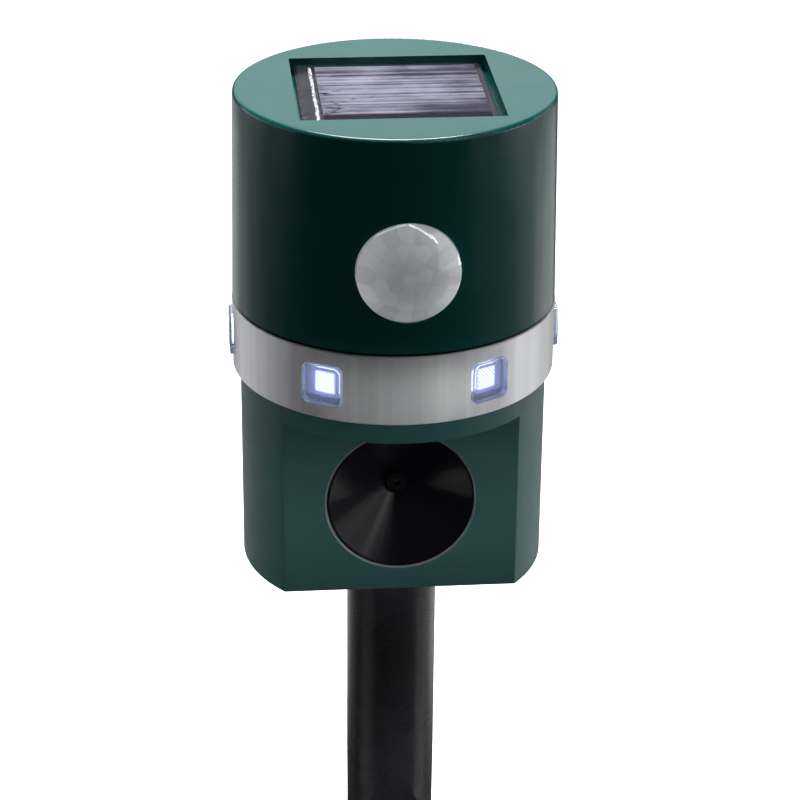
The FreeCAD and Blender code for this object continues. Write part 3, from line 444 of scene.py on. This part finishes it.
def milky_lens():
    """Milky plastic: each facet has its own tone, and the seams between them are darker. It is
    painted darker towards the middle as painted shade, and a painted glow, stronger towards
    the rim, stands in for light passing through it.
    """
    look = Look("milky_lens", {"Subsurface Weight": 0.9, "Subsurface Scale": 3 * MM, "IOR": 1.45,
                               "Subsurface Radius": (1.0, 1.0, 1.0), "Coat Weight": 1.0,
                               "Coat Roughness": 0.03, "Coat IOR": 2.1,
                               "Emission Color": (0.9, 0.95, 1, 1)})
    across, up = look.across_and_up("pir_lens")
    edge = look.spread(look.length(look.vector(across, 0.0, up)), 4 * MM, 13 * MM)
    facet = look.node("ShaderNodeAttribute", attribute_name="facet").outputs["Vector"]
    tone = look.spread(look.axis("X", facet), 0, 1, 0.84, 1.0)
    seam = look.spread(look.axis("Y", facet), 0, 1, 1.0, 0.93)
    cloud = look.vary(look.noise(420, 4), 0.94, 1.0)
    shade = look.math("MULTIPLY", look.math("MULTIPLY", tone, seam), cloud)
    # Painted shade: paler towards the rim, darker in the middle
    base = look.blend(edge, (0.72, 0.74, 0.76, 1), (0.88, 0.9, 0.93, 1))
    shaded = look.node("ShaderNodeMix", {"Factor": 1.0, 6: base, 7: shade}, data_type="RGBA",
                       blend_type="MULTIPLY")
    look.feed("Base Color", shaded.outputs[2])
    # Painted glow: the lens emits light, stronger towards the rim
    glow = look.spread(edge, 0, 1, 0.17, 0.26)
    look.feed("Emission Strength", look.math("MULTIPLY", glow, shade))
    look.feed("Roughness", look.vary(look.noise(700, 3), 0.3, 0.4))
    look.bump(look.noise(900, 2), 0.004 * MM)
    return look.material


def black_gloss():
    """The stake's smooth black plastic."""
    return moulded("black_gloss", (0.022, 0.0215, 0.025, 1), (0.027, 0.0265, 0.031, 1),
                   (0.27, 0.29), grain=5200, depth=0.0004).material


def horn_gloss():
    """Glossy black with faint moulding lines that run from the rim to the throat, and with a
    painted highlight: a pale edge at the outside of the rim."""
    look = Look("horn_gloss", {"Specular IOR Level": 0.36})
    across, up = look.across_and_up("horn")
    rays = look.noise(9, 3, 0.6, look.vector(look.math("ARCTAN2", up, across)))
    plain = look.blend(rays, (0.0018, 0.0018, 0.0035, 1), (0.0035, 0.0035, 0.006, 1))
    radius = (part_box("horn")[1].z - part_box("horn")[0].z) / 2
    reach = look.length(look.vector(across, 0.0, up))
    outer = look.spread(reach, radius - 0.55 * MM, radius - 0.35 * MM)
    at_front = look.spread(look.axis("Y"), FLAT_Y + 0.1 * MM, FLAT_Y + 0.3 * MM, 1, 0)
    # Painted highlight: a pale line on the front of the rim's outside edge
    rim = look.math("MULTIPLY", at_front, outer)
    look.feed("Base Color", look.blend(rim, plain, (0.13, 0.15, 0.15, 1)))
    look.feed("Roughness", look.vary(rays, 0.15, 0.22))
    look.bump(rays, 0.06 * MM)
    return look.material


def black_satin():
    """Grained black plastic of the small mouldings."""
    return moulded("black_satin", (0.012, 0.012, 0.013, 1), (0.02, 0.02, 0.021, 1), (0.42, 0.52),
                   grain=1800, depth=0.02).material


def solar_cell():
    """Silicon strips: purple-grey with long streaks. Painted reflections: darker on the right, as
    the film's reflection falls off; dark lines where the film over them folds; and a dark band
    along the front, for the dark reflection in the resin's front rim."""
    look = Look("solar_cell", {"Specular IOR Level": 0.1})
    streaks = look.noise(1, 4, 0.65, look.stretched((9, 420, 1)))
    clouds = look.noise(48, 3, 0.6)
    tone = look.math("ADD", look.math("MULTIPLY", streaks, 0.6),
                     look.math("MULTIPLY", clouds, 0.4))
    # Painted reflection: the cells get darker towards the right
    right = look.spread(look.axis("X"), -8 * MM, 22 * MM, 0, 0.09)
    tone = look.spread(look.math("SUBTRACT", tone, right), 0.38, 0.56)
    base = look.blend(tone, (0.028, 0.026, 0.044, 1), (0.215, 0.213, 0.262, 1))
    # Painted reflection: thin dark lines where the film folds
    folded = look.noise(1, 2, 0.5, look.stretched((70, 230, 1)))
    off_fold = look.math("ABSOLUTE", look.math("SUBTRACT", folded, 0.5))
    dark_fold_reflection = look.spread(off_fold, 0.004, 0.02, 1, 0)
    sparse = look.spread(look.noise(34, 1), 0.5, 0.58)
    base = look.blend(look.math("MULTIPLY", dark_fold_reflection, sparse), base, (0.006, 0.006, 0.012, 1))
    # Painted reflection: a dark band along the front of the cells
    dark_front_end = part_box("solar_cells")[0].y + 8.6 * MM
    past_dark_front = look.spread(look.axis("Y"), dark_front_end, dark_front_end + 0.4 * MM)
    look.feed("Base Color", look.blend(past_dark_front, (0.008, 0.006, 0.018, 1), base))
    look.feed("Roughness", look.vary(streaks, 0.28, 0.45))
    return look.material


def board_lacquer():
    """Dark lacquer on the margins of the panel's backing board."""
    return moulded("board_lacquer", (0.003, 0.0028, 0.006, 1), (0.006, 0.005, 0.01, 1), (0.2, 0.3),
                   **{"Specular IOR Level": 0.03}).material


def clear_resin():
    """Resin so clear that it barely bends the light, with a slightly uneven skin."""
    look = Look("clear_resin", {"Transmission Weight": 1.0, "IOR": 1.05,
                                "Base Color": (0.95, 0.96, 1, 1)})
    look.feed("Roughness", look.vary(look.noise(220, 4), 0.05, 0.14))
    look.bump(look.noise(90, 4, 0.6), 0.3 * MM)
    return look.material


def metal(name, dark, light, rough):
    """Bare metal with a fine variation of tone and gloss."""
    look = Look(name, {"Metallic": 1.0})
    fine = look.noise(900, 4, 0.6)
    look.feed("Base Color", look.blend(fine, dark, light))
    look.feed("Roughness", look.vary(fine, rough[0], rough[1]))
    look.bump(fine, 0.01 * MM)
    return look.material


def circuit_board():
    """Green solder mask with paler copper tracks below it."""
    look = Look("circuit_board", {})
    tracks = look.node("ShaderNodeTexBrick", {"Vector": look.place, "Scale": 90,
                                              "Mortar Size": 0.03,
                                              "Color1": (0.01, 0.09, 0.035, 1),
                                              "Color2": (0.012, 0.1, 0.04, 1),
                                              "Mortar": (0.03, 0.2, 0.09, 1)})
    look.feed("Base Color", tracks.outputs["Color"])
    look.feed("Roughness", look.vary(look.noise(300, 3), 0.28, 0.4))
    return look.material


def battery_wrap():
    """Plain printed sleeve with one paler band."""
    band_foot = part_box("battery_cell_1")[1].z - 16 * MM
    look = Look("battery_wrap", {"Coat Weight": 0.3})
    band = look.spread(look.axis("Z"), band_foot, band_foot + 0.4 * MM)
    worn = look.vary(look.noise(400, 4))
    base = look.blend(band, (0.05, 0.22, 0.14, 1), (0.6, 0.6, 0.58, 1))
    look.feed("Base Color", look.blend(look.math("MULTIPLY", worn, 0.1), base, (0.2, 0.2, 0.2, 1)))
    look.feed("Roughness", look.spread(worn, 0, 1, 0.25, 0.35))
    return look.material


def plain_looks():
    """The material of each of the record's slots, by the slot's name."""
    matte = {"rubber_seal": ((0.008, 0.008, 0.008, 1), (0.014, 0.014, 0.014, 1), (0.6, 0.75)),
             "foam_pad": ((0.02, 0.02, 0.02, 1), (0.035, 0.035, 0.035, 1), (0.8, 0.95)),
             "light_strip": ((0.7, 0.7, 0.66, 1), (0.8, 0.8, 0.76, 1), (0.35, 0.45)),
             "dark_filter": ((0.015, 0.008, 0.01, 1), (0.02, 0.012, 0.014, 1), (0.08, 0.12)),
             "white_ceramic": ((0.6, 0.58, 0.52, 1), (0.7, 0.68, 0.62, 1), (0.45, 0.6)),
             "chip_plastic": ((0.012, 0.012, 0.014, 1), (0.02, 0.02, 0.022, 1), (0.45, 0.55)),
             "white_paint": ((0.7, 0.7, 0.68, 1), (0.8, 0.8, 0.78, 1), (0.4, 0.5))}
    metals = {"silver_ribbon": ((0.6, 0.6, 0.63, 1), (0.8, 0.8, 0.83, 1), (0.2, 0.35)),
              "sensor_metal": ((0.5, 0.48, 0.42, 1), (0.62, 0.6, 0.54, 1), (0.25, 0.35)),
              "steel": ((0.5, 0.5, 0.5, 1), (0.65, 0.65, 0.65, 1), (0.22, 0.34)),
              # The brass disc is painted almost black: painted shade for the dark bore at the
              # horn's centre
              "brass_disc": ((0.03, 0.02, 0.01, 1), (0.05, 0.035, 0.018, 1), (0.45, 0.6)),
              "copper_coil": ((0.55, 0.22, 0.1, 1), (0.68, 0.3, 0.14, 1), (0.3, 0.42))}
    looks = {name: moulded(name, *spec).material for name, spec in matte.items()}
    looks.update({name: metal(name, *spec) for name, spec in metals.items()})
    looks.update({"green_plastic": green_cap(), "cover_plastic": green_lower(),
                  "silver_band": silver_band(), "clear_plastic": clear_window(),
                  "milky_lens": milky_lens(), "white_light": white_light(),
                  "black_gloss": black_gloss(), "black_plastic": black_satin(),
                  "solar_cell": solar_cell(), "circuit_board": circuit_board(),
                  "battery_wrap": battery_wrap()})
    return looks


# ---------------------------------------------------------------- pieces

# A CAD mesh is welded and its flat areas joined before its edges over a sharp angle are rounded
WELD = 0.002 * MM
FLAT_ANGLE = math.radians(0.2)
SHARP_ANGLE = math.radians(32)

# Seeds of the random shapes
LENS_SEED = 5
RESIN_SEED = 7
BUSBAR_SEED = 11


def dress(piece, material):
    """Give a piece one material in all its slots."""
    piece.data.materials.clear()
    piece.data.materials.append(material)


def stand_for(piece, node):
    """Let a piece take the place of one CAD node, on that node's body."""
    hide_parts(node)
    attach(piece, BODY_OF[node])


def softened(node, width, material, segments=2):
    """Put a copy of a CAD node with rounded edges in its place."""
    mesh = NODES[node].data.copy()
    form = bmesh.new()
    form.from_mesh(mesh)
    bmesh.ops.remove_doubles(form, verts=form.verts, dist=WELD)
    bmesh.ops.dissolve_limit(form, angle_limit=FLAT_ANGLE, verts=form.verts, edges=form.edges)
    form.to_mesh(mesh)
    form.free()
    piece = bpy.data.objects.new(node + "_moulding", mesh)
    bpy.context.scene.collection.objects.link(piece)
    bevel = piece.modifiers.new("bevel", "BEVEL")
    bevel.width = width
    bevel.segments = segments
    bevel.limit_method = "ANGLE"
    bevel.angle_limit = SHARP_ANGLE
    bevel.use_clamp_overlap = True
    mesh.shade_smooth()
    weighted = piece.modifiers.new("weighted", "WEIGHTED_NORMAL")
    weighted.weight = 100
    weighted.keep_sharp = True
    graph = bpy.context.evaluated_depsgraph_get()
    piece.data = bpy.data.meshes.new_from_object(piece.evaluated_get(graph))
    piece.modifiers.clear()
    dress(piece, material)
    stand_for(piece, node)


def mesh_piece(name, points, faces, material):
    """A smooth-shaded object made of points and faces."""
    mesh = bpy.data.meshes.new(name)
    mesh.from_pydata([tuple(point) for point in points], [], faces)
    mesh.update()
    mesh.shade_smooth()
    piece = bpy.data.objects.new(name, mesh)
    bpy.context.scene.collection.objects.link(piece)
    dress(piece, material)
    return piece


def revolved(rows, segments, centre, front):
    """Points and faces of a closed form turned about the front-to-back axis through the centre.

    The first and last rows are poles, (0, Y); each other row is (radius, Y, whether it sinks).
    front(across, up) gives how far the skin is sunk at a place on a row that sinks."""
    points = [Vector((centre.x, rows[0][1], centre.z))]
    for radius, depth, sunk in rows[1:-1]:
        for step in range(segments):
            turn = math.tau * step / segments
            across, up = radius * math.cos(turn), radius * math.sin(turn)
            extra = front(across, up) if sunk else 0.0
            points.append(Vector((centre.x + across, depth + extra, centre.z + up)))
    points.append(Vector((centre.x, rows[-1][1], centre.z)))
    last = len(points) - 1
    faces = []
    for step in range(segments):
        after = (step + 1) % segments
        faces.append((0, 1 + after, 1 + step))
        for row in range(len(rows) - 3):
            here, there = 1 + row * segments, 1 + (row + 1) * segments
            faces.append((here + step, here + after, there + after, there + step))
        end = 1 + (len(rows) - 3) * segments
        faces.append((last, end + step, end + after))
    return points, faces


def lens_cells():
    """Centres of the lens facets, in rings about its axis."""
    centres = [(0.0, 0.0)]
    for count, radius, start in ((6, 4.2 * MM, 0.3), (11, 8.2 * MM, 0.0), (17, 12.0 * MM, 0.15)):
        for step in range(count):
            turn = start + math.tau * step / count
            centres.append((radius * math.cos(turn), radius * math.sin(turn)))
    return np.array(centres)


def make_lens():
    """Domed motion lens whose skin is pressed into facets, each a shallow pillow."""
    low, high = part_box("pir_lens")
    centre = Vector(((low.x + high.x) / 2, 0, (low.z + high.z) / 2))
    crown, radius, wall, flange, flange_wall = 5.4 * MM, 14.55 * MM, 0.8 * MM, 16.8 * MM, 1.2 * MM
    pillow, groove, groove_half = 0.02 * MM, 0.02 * MM, 0.4 * MM
    faceted, fade = 13.5 * MM, 0.8 * MM
    outer_steps, inner_steps, segments = 60, 16, 240
    inner = radius - wall
    globe = (radius ** 2 + crown ** 2) / (2 * crown)
    cells = lens_cells()
    tones = np.random.default_rng(LENS_SEED).uniform(0, 1, len(cells))

    def dome(reach, shell):
        return low.y + globe - math.sqrt((globe - shell) ** 2 - reach ** 2)

    def facet(across, up):
        """The nearest facet, then how far out on it and how deep in its seam the place is,
        both 0 to 1 and fading out towards the plain edge of the dome."""
        away = np.hypot(cells[:, 0] - across, cells[:, 1] - up)
        first, second = np.argsort(away)[:2]
        out = 2 * away[first] / (away[first] + away[second])
        seam = max(0.0, 1 - (away[second] - away[first]) / (2 * groove_half))
        inside = min(1.0, max(0.0, (faceted - math.hypot(across, up)) / fade))
        return first, out * inside, seam * inside

    def sunk(across, up):
        _, out, seam = facet(across, up)
        return pillow * out ** 2 + groove * seam ** 2

    rows = [(0.0, low.y)]
    rows += [(radius * step / outer_steps, dome(radius * step / outer_steps, 0), True)
             for step in range(1, outer_steps)]
    rows += [(radius, dome(radius, 0), False), (radius, high.y - flange_wall, False),
             (flange, high.y - flange_wall, False), (flange, high.y, False),
             (inner, high.y, False), (inner, dome(inner, wall), False)]
    rows += [(inner * step / inner_steps, dome(inner * step / inner_steps, wall), False)
             for step in range(inner_steps - 1, 0, -1)]
    rows.append((0.0, dome(0.0, wall)))
    points, faces = revolved(rows, segments, centre, sunk)
    lens = mesh_piece("lens_dome", points, faces, looks["milky_lens"])
    lens.data.set_sharp_from_angle(angle=math.radians(40))
    marks = lens.data.attributes.new("facet", "FLOAT_VECTOR", "POINT")
    for mark, point in zip(marks.data, points):
        nearest, _, seam = facet(point.x - centre.x, point.z - centre.z)
        mark.vector = (tones[nearest], seam, 0)
    stand_for(lens, "pir_lens")


def grid_faces(across, along, start=0):
    """Quads between the points of a grid laid out row by row."""
    return [(start + row * across + step, start + row * across + step + 1,
             start + (row + 1) * across + step + 1, start + (row + 1) * across + step)
            for row in range(along - 1) for step in range(across - 1)]


def slab_faces(columns, rows):
    """Faces of a closed slab: a grid of points above, the same grid below it, and the sides."""
    total = rows * columns
    faces = grid_faces(columns, rows)
    faces += [tuple(reversed(face)) for face in grid_faces(columns, rows, total)]
    loop = list(range(columns)) + [row * columns + columns - 1 for row in range(1, rows)]
    loop += [(rows - 1) * columns + step for step in range(columns - 2, -1, -1)]
    loop += [row * columns for row in range(rows - 2, 0, -1)]
    faces += [(second, first, first + total, second + total)
              for first, second in zip(loop, loop[1:] + loop[:1])]
    return faces


def make_resin():
    """Clear resin with a rounded rim and a slightly uneven top, as it sets."""
    low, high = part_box("panel_resin")
    middle = (low + high) / 2
    half = (high.x - low.x) / 2
    count = 71
    rim, corner = 1.4 * MM, 1.2 * MM
    rim_foot, rim_rise, wave_height = 0.12, 0.84, 0.035 * MM
    chaos = np.random.default_rng(RESIN_SEED)
    waves = [(chaos.uniform(40, 160), chaos.uniform(200, 700), chaos.uniform(0, math.tau))
             for _ in range(9)]
    # The grid's lines lie closer together towards the rim
    steps = np.linspace(-1, 1, count)
    steps = np.sign(steps) * (1 - (1 - np.abs(steps)) ** 1.5)
    points = []
    for level in ("top", "bottom"):
        for v in steps:
            for u in steps:
                x, y = u * half, v * half
                over = Vector((max(0.0, abs(x) - half + corner), max(0.0, abs(y) - half + corner)))
                inside = corner - over.length
                if inside < 0:
                    pull = over.normalized() * inside
                    x += math.copysign(pull.x, x)
                    y += math.copysign(pull.y, y)
                    inside = 0.0
                room = min(inside if over.length else half, half - abs(x), half - abs(y))
                reach = min(1.0, max(0.0, room) / rim)
                rise = math.sqrt(1 - (1 - reach) ** 2)
                wave = sum(math.sin(kx * x + ky * y + turn) for kx, ky, turn in waves) / len(waves)
                top = (low.z + (high.z - low.z) * (rim_foot + rim_rise * rise)
                       + wave_height * wave * rise)
                points.append((middle.x + x, middle.y + y, top if level == "top" else low.z))
    resin = mesh_piece("resin_cover", points, slab_faces(count, count), looks["resin"])
    resin.data.set_sharp_from_angle(angle=math.radians(50))
    resin.visible_shadow = False
    stand_for(resin, "panel_resin")


def make_busbar():
    """A tinned ribbon with ragged edges, crinkled where it was pressed into the resin."""
    low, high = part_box("cell_busbar")
    rows, columns = 150, 7
    # Least and greatest share of the box's width left bare on the ribbon's left and right
    bare_least, bare_most = (0.45, 0.02), (0.68, 0.16)
    points = []
    for level in ("top", "bottom"):
        chaos = np.random.default_rng(BUSBAR_SEED)
        for row in range(rows):
            y = low.y + (high.y - low.y) * row / (rows - 1)
            left, right = chaos.uniform(bare_least, bare_most)
            tilt = chaos.uniform(-0.35, 0.35)
            for column in range(columns):
                share = left + (1 - left - right) * column / (columns - 1)
                lift = 0.55 + tilt * (column / (columns - 1) - 0.5) + chaos.uniform(-0.2, 0.2)
                top = low.z + (high.z - low.z) * min(1.0, max(0.15, lift))
                points.append((low.x + (high.x - low.x) * share, y,
                               top if level == "top" else low.z))
    ribbon = mesh_piece("busbar_ribbon", points, slab_faces(columns, rows), looks["silver_ribbon"])
    ribbon.data.shade_flat()
    stand_for(ribbon, "cell_busbar")


# ---------------------------------------------------------------- build

make_camera()
make_world()
make_lights()
make_floor()

looks = plain_looks()
looks["resin"] = clear_resin()
for node, thing in NODES.items():
    dress(thing, looks[SLOT_OF[node]])
dress(NODES["horn"], horn_gloss())
dress(NODES["solar_board"], board_lacquer())
softened("upper_housing", 0.25 * MM, looks["green_plastic"])
softened("lower_housing", 0.4 * MM, looks["cover_plastic"], 3)
softened("light_band", 0.3 * MM, looks["silver_band"])
softened("ground_stake", 0.5 * MM, looks["black_gloss"], 3)
softened("mode_dial", 0.25 * MM, looks["black_plastic"])
softened("battery_cover", 0.2 * MM, looks["cover_plastic"])
make_lens()
make_resin()
make_busbar()
